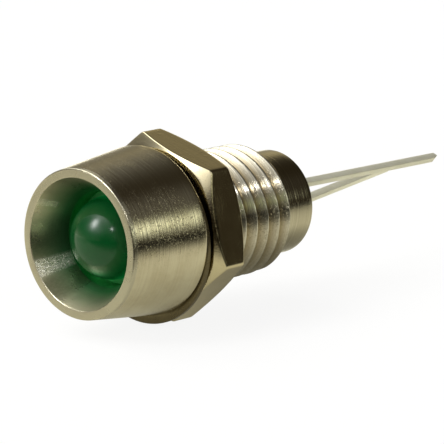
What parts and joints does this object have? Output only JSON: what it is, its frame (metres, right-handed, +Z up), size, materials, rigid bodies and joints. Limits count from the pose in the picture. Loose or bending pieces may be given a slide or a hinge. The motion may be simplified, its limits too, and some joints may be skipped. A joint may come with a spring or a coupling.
{
  "type": "led panel indicator",
  "caption": "Round metal LED panel indicator with a concave reflector bezel, green lamp, threaded barrel, washer, hex nut and two bare wire leads.",
  "frame": {"origin": "centre of the head's rear shoulder, where it seats on the front of the panel", "axes": "+Y along the turned axis from the lamp towards the leads, so the lamp faces -Y; +Z up as the picture shows it; +X completes a right-handed set"},
  "size_m": [0.011, 0.0323, 0.0113],
  "materials": {
    "plated_metal": "polished",
    "washer_steel": "satin",
    "green_epoxy": "gloss",
    "tinned_lead": "satin",
    "led_chip": "satin",
    "gold_wire": "polished",
    "black_nylon": "matte"
  },
  "bodies": {
    "root": {"bezel_body": "plated_metal", "panel_washer": "washer_steel", "panel_nut": "plated_metal", "led_lens": "green_epoxy", "anode_lead": "tinned_lead", "cathode_lead": "tinned_lead", "led_die": "led_chip", "bond_wire": "gold_wire", "plug": "black_nylon"}
  },
  "joints": []
}
